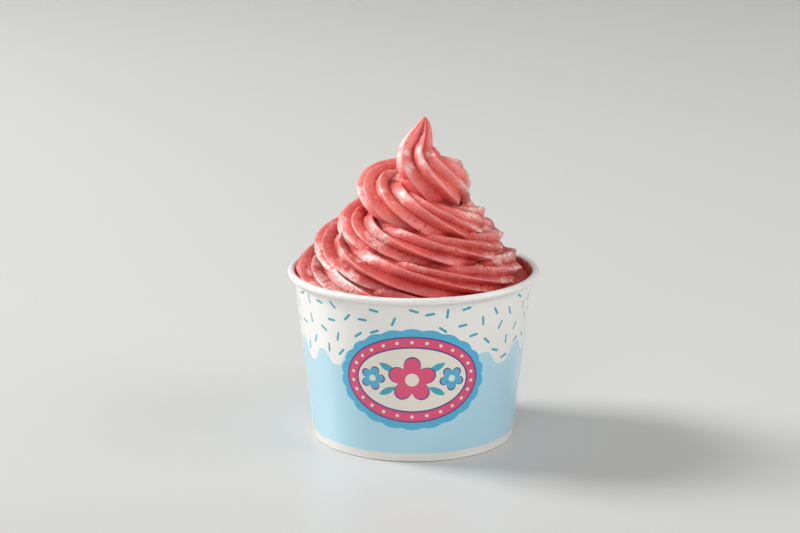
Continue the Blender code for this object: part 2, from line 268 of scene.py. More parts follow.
def lumpy(points, size, seed):
    """Smooth noise from -1 to 1 with lumps of about that size, at points of one to three numbers."""
    at = np.asarray(points, float) / size
    cell = np.floor(at).astype(np.int64)
    part = at - cell
    part = part * part * (3 - 2 * part)
    primes = np.array([73856093, 19349663, 83492791])[: at.shape[-1]]
    total = np.zeros(at.shape[:-1])
    for corner in itertools.product((0, 1), repeat=at.shape[-1]):
        mixed = (((cell + corner) * primes).sum(-1) + seed * 668265263) & 0xFFFFFFFF
        mixed = (mixed ^ (mixed >> 15)) * 2246822519 & 0xFFFFFFFF
        mixed = (mixed ^ (mixed >> 13)) * 3266489917 & 0xFFFFFFFF
        mixed = mixed ^ (mixed >> 16)
        weight = np.where(np.array(corner) == 1, part, 1 - part).prod(-1)
        total += weight * (mixed / 2**31 - 1)
    return total


# ---- making objects ----
def mesh_object(name, points, faces, place=None):
    """Points in millimetres."""
    data = bpy.data.meshes.new(name)
    data.from_pydata((np.asarray(points) * MM).tolist(), [], faces)
    data.update()
    thing = bpy.data.objects.new(name, data)
    (place or bpy.context.scene.collection).objects.link(thing)
    return thing


def values_of(data, name, values):
    """Keeps one number a vertex with the mesh."""
    layer = data.attributes.new(name, "FLOAT", "POINT")
    layer.data.foreach_set("value", np.asarray(values, dtype=np.float32))


def values_from(data, name):
    values = np.empty(len(data.vertices), np.float32)
    data.attributes[name].data.foreach_get("value", values)
    return values


def places_of(data):
    flat = np.empty(len(data.vertices) * 3, np.float32)
    data.vertices.foreach_get("co", flat)
    return flat.reshape(-1, 3).astype(float) / MM


# ---- materials ----
def new_material(name):
    made = bpy.data.materials.new(name)
    made.use_nodes = True
    return made, made.node_tree.nodes


def feed(socket, value):
    """Sets an input to a value, or links it to an output."""
    if isinstance(value, bpy.types.NodeSocket):
        socket.id_data.links.new(value, socket)
    else:
        socket.default_value = value


def set_inputs(node, values):
    for name, value in values.items():
        feed(node.inputs[name], value)


def place_in(nodes):
    return nodes.new("ShaderNodeTexCoord").outputs["Object"]


def coordinate(nodes, where, axis):
    made = nodes.new("ShaderNodeSeparateXYZ")
    feed(made.inputs[0], where)
    return made.outputs[axis]


def noise(nodes, where, size, detail=2.0, roughness=0.5):
    """Noise with lumps of about that many millimetres."""
    made = nodes.new("ShaderNodeTexNoise")
    feed(made.inputs["Vector"], where)
    feed(made.inputs["Scale"], 1 / (size * MM))
    feed(made.inputs["Detail"], detail)
    feed(made.inputs["Roughness"], roughness)
    return made.outputs["Fac"]


def kept(nodes, name):
    """A number that the mesh keeps at each vertex."""
    made = nodes.new("ShaderNodeAttribute")
    made.attribute_name = name
    return made.outputs["Fac"]


def maths(nodes, operation, *values):
    made = nodes.new("ShaderNodeMath")
    made.operation = operation
    for socket, value in zip(made.inputs, values):
        feed(socket, value)
    return made.outputs[0]


def spread(nodes, value, taken, given=(0.0, 1.0)):
    """A value's range as another range, held at both ends."""
    made = nodes.new("ShaderNodeMapRange")
    feed(made.inputs["Value"], value)
    feed(made.inputs["From Min"], taken[0])
    feed(made.inputs["From Max"], taken[1])
    feed(made.inputs["To Min"], given[0])
    feed(made.inputs["To Max"], given[1])
    return made.outputs["Result"]


def scaled(nodes, colour, share):
    made = nodes.new("ShaderNodeVectorMath")
    made.operation = "SCALE"
    feed(made.inputs[0], colour)
    feed(made.inputs["Scale"], share)
    return made.outputs[0]


def covered(nodes, colour, cover, share):
    """A colour with a share of another over it."""
    made = nodes.new("ShaderNodeMix")
    made.data_type = "RGBA"
    feed(made.inputs["Factor"], share)
    feed(made.inputs["A"], colour)
    feed(made.inputs["B"], cover)
    return made.outputs["Result"]


def ramp(nodes, value, *stops):
    """Colours at places from 0 to 1, the first and the last of the stops at the ends."""
    made = nodes.new("ShaderNodeValToRGB")
    feed(made.inputs["Fac"], value)
    ends = made.color_ramp.elements
    ends[0].position, ends[0].color = stops[0]
    ends[1].position, ends[1].color = stops[-1]
    for position, colour in stops[1:-1]:
        made.color_ramp.elements.new(position).color = colour
    return made.outputs["Color"]


def bumped(nodes, height, strength, distance):
    """The surface's normal over a height. The distance is in millimetres."""
    made = nodes.new("ShaderNodeBump")
    feed(made.inputs["Strength"], strength)
    feed(made.inputs["Distance"], distance * MM)
    feed(made.inputs["Height"], height)
    return made.outputs["Normal"]


def board_group():
    """Coated board: its ink a little clouded, its gloss uneven, and the height of its fibres."""
    group = bpy.data.node_groups.new("coated_board", "ShaderNodeTree")
    sockets = (
        ("Ink", "INPUT", "NodeSocketColor", (0.8, 0.8, 0.8, 1.0)),
        ("Clouding", "INPUT", "NodeSocketFloat", 0.03),
        ("Gloss loss", "INPUT", "NodeSocketFloat", 0.4),
        ("Colour", "OUTPUT", "NodeSocketColor", None),
        ("Roughness", "OUTPUT", "NodeSocketFloat", None),
        ("Height", "OUTPUT", "NodeSocketFloat", None),
    )
    for name, way, kind, value in sockets:
        socket = group.interface.new_socket(name, in_out=way, socket_type=kind)
        if value is not None:
            socket.default_value = value
    nodes = group.nodes
    given, result = nodes.new("NodeGroupInput").outputs, nodes.new("NodeGroupOutput").inputs
    where = place_in(nodes)
    fibre = noise(nodes, where, FIBRE_SIZE, FIBRE_DETAIL, FIBRE_ROUGH)
    cloud = noise(nodes, where, CLOUD_SIZE)
    centred = maths(nodes, "SUBTRACT", maths(nodes, "ADD", fibre, cloud), 1.0)
    shade = maths(nodes, "MULTIPLY_ADD", centred, given["Clouding"], 1.0)
    feed(result["Colour"], scaled(nodes, given["Ink"], shade))
    feed(result["Roughness"], maths(nodes, "MULTIPLY_ADD", centred, GLOSS_UNEVEN, given["Gloss loss"]))
    feed(result["Height"], fibre)
    return group


def board_material(name, group, ink, clouding, gloss_loss, coat):
    made, nodes = new_material(name)
    board = nodes.new("ShaderNodeGroup")
    board.node_tree = group
    set_inputs(board, {"Ink": (*ink, 1.0), "Clouding": clouding, "Gloss loss": gloss_loss})
    set_inputs(
        nodes["Principled BSDF"],
        {
            "Base Color": board.outputs["Colour"],
            "Roughness": board.outputs["Roughness"],
            "Normal": bumped(nodes, board.outputs["Height"], FIBRE_BUMP, FIBRE_HEIGHT),
            "Coat Weight": coat,
            "Coat Roughness": COAT_ROUGH,
        },
    )
    made.diffuse_color = (*ink, 1.0)
    return made


# ---- the cup's board ----
def arc(across, up, reach, start_deg, end_deg, step_deg):
    """Points of a circle about (across, up), both ends included."""
    steps = max(1, round(abs(end_deg - start_deg) / step_deg))
    angles = np.radians(np.linspace(start_deg, end_deg, steps + 1))
    return [(across + reach * math.cos(a), up + reach * math.sin(a)) for a in angles]


def beside(line, aside):
    """A line of (radius, height) moved aside, to the right of its way."""
    line = np.asarray(line)
    way = np.gradient(line, axis=0)
    way /= np.linalg.norm(way, axis=1, keepdims=True)
    return (line + aside * np.stack([way[:, 1], -way[:, 0]], axis=1)).tolist()


def straight(start, end, steps):
    """Points from start to end, both included."""
    share = np.linspace(0, 1, steps + 1)[:, None]
    return (np.array(start) * (1 - share) + np.array(end) * share).tolist()


def board_sections():
    """The board's section from the printed wall's foot round the hem and inside to its top."""
    middle, leaf_in = PAPER / 2, 2 * (PAPER + GAP)
    upright_deg = -math.degrees(math.atan(WALL_LEAN))
    roll = arc(ROLL_CENTRE_R, ROLL_Z, ROLL_R - middle, ROLL_END_DEG, 180.0 + upright_deg, ROLL_STEP_DEG)
    fold_z = FOLD_R + middle
    low_out = (wall_outer(fold_z) - middle, fold_z)
    low_in = (low_out[0] - leaf_in, fold_z)
    hem = arc(low_out[0] - FOLD_R, fold_z, FOLD_R, 0.0, -90.0, FOLD_STEP_DEG)
    hem += arc(low_in[0] + FOLD_R, fold_z, FOLD_R, -90.0, -180.0, FOLD_STEP_DEG)
    hem_top = (low_in[0] + WALL_LEAN * (HEM_HEIGHT - fold_z), HEM_HEIGHT)
    hem += straight(low_in, hem_top, HEM_STEPS)[1:]
    whole = roll + straight(roll[-1], low_out, WALL_STEPS)[1:-1] + hem
    inside = beside(whole, middle)
    outside = beside(whole, -middle)
    foot = [(wall_outer(PRINT_LOW_Z), PRINT_LOW_Z)] + outside[-len(hem) :]
    top = outside[: len(roll)] + [(wall_outer(PRINT_HIGH_Z), PRINT_HIGH_Z)]
    return foot + inside[::-1] + top


def seam_rise(angle, height):
    """How proud the glued overlap stands. It is at the back, and eases out at the hem and the roll."""
    away = (angle - math.pi / 2 + math.pi) % math.tau - math.pi
    wide, edge = SEAM_WIDE / BASE_R, SEAM_EDGE / BASE_R
    across = eased(away, -wide, edge - wide) * (1 - eased(away, 0.0, edge))
    up = eased(height, SEAM_LOW_Z, SEAM_LOW_Z + SEAM_FADE)
    return SEAM_PROUD * across * up * (1 - eased(height, SEAM_HIGH_Z - SEAM_FADE, SEAM_HIGH_Z))


# ---- the print ----
# It is laid out flat: x runs round the cup from the seam, at the middle radius, and y is the height.
FLAT_R = wall_outer((PRINT_LOW_Z + PRINT_HIGH_Z) / 2)
FLAT_WIDE = math.tau * FLAT_R
FLAT_START = math.pi / 2
INKS = {
    "white_board": (0.84, 0.825, 0.795),
    "pale_blue_ink": (0.42, 0.68, 0.80),
    "teal_ink": (0.012, 0.36, 0.49),
    "blue_ink": (0.05, 0.42, 0.66),
    "purple_ink": (0.10, 0.03, 0.22),
    "pink_ink": (0.74, 0.045, 0.16),
    "cream_ink": (0.80, 0.76, 0.66),
    # The bare board of the band round the foot, painted darker as shade near the floor and warmer as the
    # floor's bounce light.
    "foot_board_painted_bounce": (0.77, 0.745, 0.70),
}
INK_NAMES = tuple(INKS)
PLAIN_BOARD = (0.74, 0.72, 0.68)
Coat = namedtuple("Coat", "clouding gloss_loss weight")
COATED, UNCOATED = Coat(0.04, 0.36, 1.0), Coat(0.06, 0.6, 0.0)


def drip_line():
    """The icing's lower edge: drips and bumps by turns, of uneven width and depth."""
    rng = np.random.default_rng(DRIP_SEED)
    count = 2 * round(FLAT_WIDE / (DRIP_NARROW + DRIP_BROAD))
    width = rng.uniform(DRIP_NARROW, DRIP_BROAD, count)
    width *= FLAT_WIDE / width.sum()
    depth = rng.uniform(DRIP_LOW, DRIP_HIGH, count) * np.where(np.arange(count) % 2, 1.0, -1.0)
    across = np.append(0.0, np.cumsum(width))
    depth = np.append(depth, depth[0])
    x = np.linspace(0.0, FLAT_WIDE, 2 * TURN_STEPS + 1)
    i = np.clip(np.searchsorted(across, x) - 1, 0, count - 1)
    share = eased(eased(x, across[i], across[i + 1]), 0.0, 1.0)
    return np.stack([x, DRIPS_Z + depth[i] * (1 - share) + depth[i + 1] * share], axis=1)


def printed(outline, deg, height):
    """An outline of true millimetres about a point of the wall, laid in the flat print."""
    outline = np.asarray(outline)
    z = height + outline[:, 1]
    x = (math.radians(deg) - FLAT_START) * FLAT_R + outline[:, 0] * FLAT_R / wall_outer(z)
    return np.stack([x, z], axis=1)


def polar(reach, wide, high, steps, across=0.0, up=0.0, turn=0.0):
    """An outline whose reach is a function of the angle, stretched to half of wide and high."""
    angle = np.arange(steps) * math.tau / steps
    size = reach(angle - turn)
    return np.stack(
        [across + wide / 2 * size * np.cos(angle), up + high / 2 * size * np.sin(angle)], axis=1
    )


def round_reach(angle):
    return np.ones_like(angle)


def scalloped(angle):
    return 1 - SCALLOP_DEEP * (1 - np.abs(np.sin(SCALLOPS / 2 * angle)))


def petalled(angle):
    return PETAL_WAIST + (1 - PETAL_WAIST) * np.abs(np.cos(PETALS / 2 * angle)) ** PETAL_FULL


def turned(x, y, turn, across=0.0, up=0.0):
    c, s = math.cos(turn), math.sin(turn)
    return np.stack([across + x * c - y * s, up + x * s + y * c], axis=1)


def leaf(across, up, turn):
    share = np.linspace(0, 1, LEAF_STEPS + 1)
    half = LEAF_WIDE / 2 * np.sin(math.pi * share) ** LEAF_FULL
    x = np.concatenate([share, share[-2:0:-1]]) * LEAF_LONG
    y = np.concatenate([half, -half[-2:0:-1]])
    return turned(x, y, turn, across, up)


def sprinkle(turn):
    """A short bar with round ends."""
    end, half = SPRINKLE_LONG / 2 - SPRINKLE_WIDE / 2, SPRINKLE_WIDE / 2
    angle = np.linspace(-math.pi / 2, math.pi / 2, SPRINKLE_STEPS + 1)
    x = np.concatenate([end + half * np.cos(angle), -end - half * np.cos(angle)])
    y = np.concatenate([half * np.sin(angle), -half * np.sin(angle)])
    return turned(x, y, turn)


def badge():
    """A scalloped oval with blossoms, as (ink, outline) from the back to the front."""
    w, h = BADGE_WIDE, BADGE_HIGH
    shapes = [("blue_ink", polar(scalloped, w, h, SCALLOP_POINTS * SCALLOPS))]
    for field in BADGE_FIELDS:
        less = field.narrower
        shapes.append((field.ink, polar(round_reach, w - less, h - less, field.points)))
    shapes += [("teal_ink", leaf(*place)) for place in LEAVES]
    for across, wide, ink, turn in BLOSSOMS:
        over, eye = wide + BLOSSOM_EDGE, wide * BLOSSOM_EYE
        shapes.append(("purple_ink", polar(petalled, over, over, BLOSSOM_POINTS, across, turn=turn)))
        shapes.append((ink, polar(petalled, wide, wide, BLOSSOM_POINTS, across, turn=turn)))
        shapes.append(("cream_ink", polar(round_reach, eye, eye, EYE_POINTS, across)))
    for i in range(DOTS):
        angle = math.tau * (i + 0.5) / DOTS
        across = (w - DOTS_NARROWER) / 2 * math.cos(angle)
        up = (h - DOTS_NARROWER) / 2 * math.sin(angle)
        shapes.append(("cream_ink", polar(round_reach, DOT_D, DOT_D, DOT_POINTS, across, up)))
    return [(ink, printed(outline, BADGE_DEG, BADGE_Z)) for ink, outline in shapes]


def inside(points, outline):
    """Which points lie inside a closed outline."""
    x, y = points[:, 0, None], points[:, 1, None]
    ax, ay = outline[:, 0], outline[:, 1]
    bx, by = np.roll(ax, -1), np.roll(ay, -1)
    spans = (ay > y) != (by > y)
    rise = np.where(by == ay, 1.0, by - ay)
    return (spans & (x < ax + (bx - ax) * (y - ay) / rise)).sum(1) % 2 == 1


def sprinkles(edge, badge_outline):
    """Bars strewn over the icing a little apart from each other, off its edge and off the badge."""
    rng = np.random.default_rng(SPRINKLE_SEED)
    placed, shapes = [], []
    for _ in range(SPRINKLE_TRIES):
        x = rng.uniform(0, FLAT_WIDE)
        z = rng.uniform(DRIPS_Z - DRIP_HIGH, SPRINKLE_TOP_Z)
        turn = rng.uniform(0, math.pi)
        if any(math.hypot(x - there[0], z - there[1]) < SPRINKLE_APART for there in placed):
            continue
        deg = math.degrees(x / FLAT_R + FLAT_START)
        grown = printed(sprinkle(turn) * (1 + 2 * SPRINKLE_CLEAR / SPRINKLE_LONG), deg, z)
        low = grown[:, 1] - SPRINKLE_CLEAR < np.interp(grown[:, 0], edge[:, 0], edge[:, 1])
        out = (grown[:, 0] < 1) | (grown[:, 0] > FLAT_WIDE - 1) | (grown[:, 1] > SPRINKLE_TOP_Z)
        if low.any() or out.any() or inside(grown, badge_outline).any():
            continue
        placed.append((x, z))
        shapes.append(("teal_ink", printed(sprinkle(turn), deg, z)))
    return shapes


def around_list():
    """Places round the wall, closer together at the seam's two edges."""
    places = list(np.linspace(0.0, FLAT_WIDE, TURN_STEPS + 1))
    seam = SEAM_WIDE * FLAT_R / BASE_R
    edge = SEAM_EDGE * FLAT_R / BASE_R
    for start in (0.0, FLAT_WIDE - seam):
        places += [start + edge * share for share in SEAM_SHARES]
    return np.array(sorted(places))


def printed_wall(places):
    """The wall's outer face cut along every printed edge: points in the flat, faces and their inks."""
    edge = drip_line()
    band = np.stack([places, np.full(len(places), BAND_TOP_Z)], axis=1)
    foot = np.stack([places, np.full(len(places), PRINT_LOW_Z)], axis=1)
    top = np.stack([places, np.full(len(places), PRINT_HIGH_Z)], axis=1)
    lines = [foot, band, edge, top]
    motifs = badge()
    motifs += sprinkles(edge, motifs[0][1])
    points, joins = [], []
    for line in lines:
        first = len(points)
        points += line.tolist()
        joins += [(first + i, first + i + 1) for i in range(len(line) - 1)]
    for _, outline in motifs:
        first, count = len(points), len(outline)
        points += outline.tolist()
        joins += [(first + i, first + (i + 1) % count) for i in range(count)]
    tree = kdtree.KDTree(len(points))
    for i, (x, z) in enumerate(points):
        tree.insert((x, z, 0.0), i)
    tree.balance()
    rows = round((PRINT_HIGH_Z - PRINT_LOW_Z) / PRINT_ROW)
    for row in range(1, rows):
        z = PRINT_LOW_Z + (PRINT_HIGH_Z - PRINT_LOW_Z) * row / rows
        for x in places:
            if tree.find((x, z, 0.0))[2] > POINT_CLEAR:
                points.append((x, z))
    # Both ends of the flat get the same points, so that they close up at the back.
    points, _, faces, _, _, _ = geometry.delaunay_2d_cdt(
        [Vector(p) for p in points], joins, [], 0, PRINT_EXACT, False
    )
    points = np.array([tuple(p) for p in points])
    faces = np.array(faces)
    middle = points[faces].mean(axis=1)
    ink = np.where(middle[:, 1] > np.interp(middle[:, 0], edge[:, 0], edge[:, 1]), 0, 1)
    ink[middle[:, 1] < BAND_TOP_Z] = INK_NAMES.index("foot_board_painted_bounce")
    for name, outline in motifs:
        low, high = outline.min(axis=0), outline.max(axis=0)
        near = np.flatnonzero(((middle > low) & (middle < high)).all(axis=1))
        ink[near[inside(middle[near], outline)]] = INK_NAMES.index(name)
    return points, faces, ink


def wrapped(x, height, reach):
    """Points round the cup from places in the flat, heights and radii."""
    angle = x / FLAT_R + FLAT_START
    reach = reach + seam_rise(angle, height) * (reach > wall_outer(height) - PAPER / 2)
    return np.stack([reach * np.cos(angle), reach * np.sin(angle), height + 0 * angle], axis=-1)


def cup_wall():
    places = around_list()
    flat, faces, inks = printed_wall(places)
    points = wrapped(flat[:, 0], flat[:, 1], wall_outer(flat[:, 1]))
    section = np.array(board_sections())
    round_x = places[:-1]
    count = len(round_x)
    rings = np.concatenate([wrapped(round_x, np.full(count, z), r) for r, z in section])
    faces = faces.tolist()
    first = len(points)
    for ring in range(len(section) - 1):
        here, there = first + ring * count, first + (ring + 1) * count
        for i in range(count):
            j = (i + 1) % count
            faces.append((here + i, there + i, there + j, here + j))
    made = mesh_object("cup_wall_board", np.concatenate([points, rings]), faces)
    plain = np.zeros(len(faces) - len(inks), int)
    made.data.polygons.foreach_set("material_index", np.append(inks, plain))
    shell = bmesh.new()
    shell.from_mesh(made.data)
    bmesh.ops.remove_doubles(shell, verts=shell.verts, dist=JOINED * MM)
    bmesh.ops.recalc_face_normals(shell, faces=shell.faces)
    shell.to_mesh(made.data)
    shell.free()
    made.data.shade_smooth()
    return made


# ---- the rope ----
def along(field, turns):
    """A monotone cubic through one field of COIL's knots."""
    xk = np.array([knot.turns for knot in COIL])
    yk = np.array([getattr(knot, field) for knot in COIL])
    step = np.diff(xk)
    slope = np.diff(yk) / step
    tangent = np.concatenate([slope[:1], np.zeros(len(xk) - 2), slope[-1:]])
    for i in range(1, len(xk) - 1):
        if slope[i - 1] * slope[i] > 0:
            before, after = 2 * step[i] + step[i - 1], step[i] + 2 * step[i - 1]
            tangent[i] = (before + after) / (before / slope[i - 1] + after / slope[i])
    i = np.clip(np.searchsorted(xk, turns) - 1, 0, len(step) - 1)
    s = np.clip((turns - xk[i]) / step[i], 0, 1)
    return (
        yk[i] * (1 + 2 * s) * (1 - s) ** 2
        + tangent[i] * step[i] * s * (1 - s) ** 2
        + yk[i + 1] * s * s * (3 - 2 * s)
        - tangent[i + 1] * step[i] * s * s * (1 - s)
    )


def centre(turns):
    """The middle of the rope, (len(turns), 3)."""
    angle = math.tau * turns
    across, back = np.cos(angle), np.sin(angle)
    lean = eased(turns, LEAN_FROM, LEAN_TO) * (LEAN_BACK * back - LEAN_LEFT * across)
    reach = along("reach", turns)
    return np.stack(
        [along("shift", turns) + reach * across, reach * back, along("height", turns) + lean],
        axis=-1,
    )


def rope_radius(turns):
    drawn = np.clip((turns - TIP_TURN) / TIP_TURNS, 0, 1) ** TIP_SHAPE
    return TIP_R + (ROPE_R - TIP_R) * np.sin(math.pi / 2 * drawn)


def rope_turns():
    """Turns at an even spacing along the rope, and the length up to each."""
    fine = np.linspace(TIP_TURN, END_TURN, LENGTH_STEPS + 1)
    steps = np.linalg.norm(np.diff(centre(fine), axis=0), axis=1)
    length = np.append(0.0, np.cumsum(steps))
    even = np.linspace(0.0, length[-1], round(length[-1] / RING_SPACE) + 1)
    return np.interp(even, length, fine), even


def between(crests, share):
    """What each crest has, and a share of the next one's, across the flutes."""
    return crests[:, :, None] * (1 - share) + np.roll(crests, -1, axis=1)[:, :, None] * share


def star(turns, length):
    """The section's outline at each of the turns: angles, reaches, how near each point is to a crest,
    and how torn it is."""
    rng = np.random.default_rng(STAR_SEED)
    crest = (np.arange(FLUTES) + rng.uniform(-FLUTE_UNEVEN, FLUTE_UNEVEN, FLUTES)) / FLUTES
    height = rng.uniform(CREST_LOW, CREST_HIGH, FLUTES)
    share = np.arange(FLUTE_POINTS) / FLUTE_POINTS
    width = np.append(crest[1:], crest[0] + 1) - crest
    angle = crest[:, None] + width[:, None] * share
    number = np.arange(FLUTES)[None, :]
    where = np.stack(np.broadcast_arrays(length[:, None], number * FLUTES_APART), axis=-1)
    wobble = WOBBLE * lumpy(where, WOBBLE_LONG, seed=1)
    wobble = wobble + WOBBLE_FINE * lumpy(where, WOBBLE_FINE_LONG, seed=2)
    side = np.cos(math.tau * turns)
    right = eased(side, *RAG_SIDE)[:, None] * eased(turns, *RAG_TURNS)[:, None]
    rag = RAG * right * lumpy(where, RAG_LONG, seed=3)
    worn = WORN * right * (lumpy(where, WORN_LONG, seed=4) - WORN_MOST)
    high = height + wobble + rag + worn
    slope = np.abs(1 - 2 * share)
    rounded = slope - CREST_ROUND * slope**CREST_POWER
    near = rounded**FLUTE_SHAPE / (1 - CREST_ROUND) ** FLUTE_SHAPE
    blunt = BLUNT * eased(side, *BLUNT_SIDE)[:, None, None]
    reach = between(high, share) * (1 - FLUTE_DEPTH * (1 - blunt) * (1 - near))
    end = eased(side, *TEAR_SIDE)[:, None] * eased(turns, *TEAR_TURNS)[:, None]
    patch = eased(lumpy(where, TEAR_PATCH, seed=8) + end - TEAR_LEVEL, 0.0, TEAR_SOFT)
    torn = between(patch, share) * near
    crests = np.broadcast_to(near, (len(turns), FLUTES, FLUTE_POINTS))
    flat = (len(turns), FLUTES * FLUTE_POINTS)
    return angle.reshape(-1) * math.tau, reach.reshape(flat), crests.reshape(flat), torn.reshape(flat)


def rope_rings(turns, length):
    """The rope's outline at each of the turns, (len(turns), points of the star, 3), and its finish."""
    ahead = centre(np.maximum(turns - AHEAD, TIP_TURN)) - centre(turns + AHEAD)
    ahead /= np.linalg.norm(ahead, axis=1, keepdims=True)
    angle, reach, crests, torn = star(turns, length)
    angle = angle - EXTRA_TWIST * math.tau * np.maximum(turns, TWIST_FROM)[:, None]
    level = np.stack([np.cos(angle), np.sin(angle), np.zeros_like(angle)], axis=-1)
    axis = np.stack([-ahead[:, 1], ahead[:, 0], np.zeros(len(turns))], axis=-1)[:, None]
    cosine = ahead[:, 2][:, None, None]
    along_axis = (axis * level).sum(-1, keepdims=True)
    outline = level * cosine + np.cross(axis, level) + axis * along_axis / (1 + cosine)
    outline *= reach[..., None] * rope_radius(turns)[:, None, None]
    outline[..., 2] *= along("tall", turns)[:, None]
    return centre(turns)[:, None] + outline, np.stack([crests, torn])


def held_in(points):
    """Draws points below the rim in from the cup's inner wall."""
    high = points[..., 2]
    room = np.where(high < CUP_HEIGHT, wall_inner(high) - GAP - WALL_SPACE, np.inf)
    reach = np.hypot(points[..., 0], points[..., 1])
    points[..., :2] *= np.minimum(1.0, room / np.maximum(reach, 1e-6))[..., None]
    return points


def loft(name, rings, place, finish=None):
    """A closed body through rings of points, with a fan at each end."""
    count = rings.shape[1]
    points = np.concatenate([rings.reshape(-1, 3), rings[:1].mean(axis=1), rings[-1:].mean(axis=1)])
    first_hub, last_hub = len(points) - 2, len(points) - 1
    last = (len(rings) - 1) * count
    i = np.arange(count)
    j = (i + 1) % count
    faces = [np.stack([np.full(count, first_hub), i, j], axis=1)]
    faces.append(np.stack([np.full(count, last_hub), last + j, last + i], axis=1))
    here = np.arange(0, last, count)[:, None]
    there = here + count
    faces.append(np.stack([here + i, there + i, there + j], axis=-1).reshape(-1, 3))
    faces.append(np.stack([here + i, there + j, here + j], axis=-1).reshape(-1, 3))
    made = mesh_object(name, points, np.concatenate(faces).tolist(), place)
    for i, layer in enumerate(("crest", "torn")):
        values = np.zeros(len(points))
        if finish is not None:
            values[:first_hub] = finish[i].reshape(-1)
        values_of(made.data, layer, values)
    return made


def rope(place):
    """The rope as closed lengths, each with its slimmer ends inside its neighbours."""
    turns, length = rope_turns()
    rings, finish = rope_rings(turns, length)
    rings = held_in(rings)
    tuck = len(LENGTH_TUCK)
    last = len(turns) - 1
    for start in range(0, last, LENGTH_RINGS):
        stop = min(start + LENGTH_RINGS, last)
        first_ring, last_ring = max(start - tuck + 1, 0), min(stop + tuck, last)
        piece = rings[first_ring : last_ring + 1].copy()
        hubs = piece.mean(axis=1, keepdims=True)
        for i, less in enumerate(LENGTH_TUCK):
            if start > 0:
                near = start - i - first_ring
                piece[near] = hubs[near] + (piece[near] - hubs[near]) * (1 - less)
            if stop < last:
                near = stop + 1 + i - first_ring
                piece[near] = hubs[near] + (piece[near] - hubs[near]) * (1 - less)
        loft(f"rope_{start}", piece, place, finish[:, first_ring : last_ring + 1])


# ---- the rest of the sorbet ----
def core(place):
    """The middle of the coil. It follows the line of the rope's centres, so nothing is hollow."""
    levels = np.linspace(CORE_TOP_Z, CORE_LOW_Z, CORE_LEVELS)
    closed_z = CORE_TOP_Z + CORE_CLOSED
    closing = np.clip((closed_z - levels) / (closed_z - CORE_TAPER_Z), 0, 1)
    high = eased(levels, CORE_STEP_LOW_Z, CORE_STEP_HIGH_Z)
    over = CORE_OVER + (CORE_OVER_TOP - CORE_OVER) * high
    rings = np.zeros((CORE_LEVELS, CORE_SIDES, 3))
    for side in range(CORE_SIDES):
        share = side / CORE_SIDES
        passes = np.arange(math.ceil(END_TURN)) + share
        passes = passes[(passes > TIP_TURN + CORE_TURNS) & (passes < END_TURN)]
        passes = passes[np.argsort(centre(passes)[:, 2])]
        heights = centre(passes)[:, 2]
        reach = (np.interp(levels, heights, along("reach", passes)) + over) * closing
        rings[:, side, 0] = np.interp(levels, heights, along("shift", passes))
        rings[:, side, 0] += reach * math.cos(math.tau * share)
        rings[:, side, 1] = reach * math.sin(math.tau * share)
        rings[:, side, 2] = levels
    return loft("core", held_in(rings), place)


def heart(place):
    """The middle of the top coil, behind the tip."""
    angle = np.arange(CORE_SIDES) * math.tau / CORE_SIDES
    rings = [
        np.stack(
            [HEART_ACROSS + r * np.cos(angle), HEART_BACK + r * np.sin(angle), np.full(CORE_SIDES, z)], 1
        )
        for r, z in reversed(HEART)
    ]
    return loft("heart", np.array(rings), place)


def fill(place=None):
    """What lies below the coil, down to the cup's bottom."""
    foot = FLOOR_Z + GAP
    outline = [
        (wall_inner(FILL_TOP_Z) - GAP - FILL_BEVEL, FILL_TOP_Z),
        (wall_inner(FILL_TOP_Z - FILL_BEVEL) - GAP, FILL_TOP_Z - FILL_BEVEL),
        (wall_inner(foot + FILL_FOOT) - GAP, foot + FILL_FOOT),
        (wall_inner(foot) - GAP - FILL_FOOT, foot),
    ]
    angle = np.arange(FILL_STEPS) * math.tau / FILL_STEPS
    rings = [np.stack([r * np.cos(angle), r * np.sin(angle), np.full(FILL_STEPS, z)], 1) for r, z in outline]
    return loft("fill", np.array(rings), place)


def smear(place):
    """The sorbet pressed against the cup's inner wall at the back right, up to just below the rim."""
    rings = []
    step = np.arange(SMEAR_ROWS) / (SMEAR_ROWS - 1)
    for share in np.linspace(0, 1, SMEAR_RINGS):
        angle = math.radians(SMEAR_DEG[0] + (SMEAR_DEG[1] - SMEAR_DEG[0]) * share)
        full = eased(math.sin(math.pi * share), 0.0, SMEAR_END)
        ragged = SMEAR_RAG * lumpy(np.array([angle * CUP_HEIGHT]), SMEAR_RAG_LONG, seed=12)
        top = SMEAR_LEAST_Z + (SMEAR_TOP_Z - SMEAR_LEAST_Z + ragged) * full
        z = SMEAR_LOW_Z + (top - SMEAR_LOW_Z) * step
        outer = wall_inner(np.minimum(z, ROLL_Z)) - GAP
        thick = SMEAR_THIN + SMEAR_THICK * full
        inner = outer - thick * (1 - (1 - SMEAR_UPPER) * step)
        reach = np.append(outer, inner[::-1])
        height = np.append(z, (z - SMEAR_FALL * step)[::-1])
        rings.append(np.stack([reach * math.cos(angle), reach * math.sin(angle), height], axis=1))
    return loft("smear", np.array(rings[::-1]), place)


def one_body(data):
    """Leaves out the slivers of air that the union closes in between the pieces."""
    shell = bmesh.new()
    shell.from_mesh(data)
    seen, bodies = set(), []
    for start in shell.verts:
        if start in seen:
            continue
        seen.add(start)
        body = [start]
        for point in body:
            near = [edge.other_vert(point) for edge in point.link_edges]
            fresh = [other for other in near if other not in seen]
            seen.update(fresh)
            body.extend(fresh)
        bodies.append(body)
    bodies.sort(key=len)
    slivers = [point for body in bodies[:-1] for point in body]
    bmesh.ops.delete(shell, geom=slivers, context="VERTS")
    shell.to_mesh(data)
    shell.free()


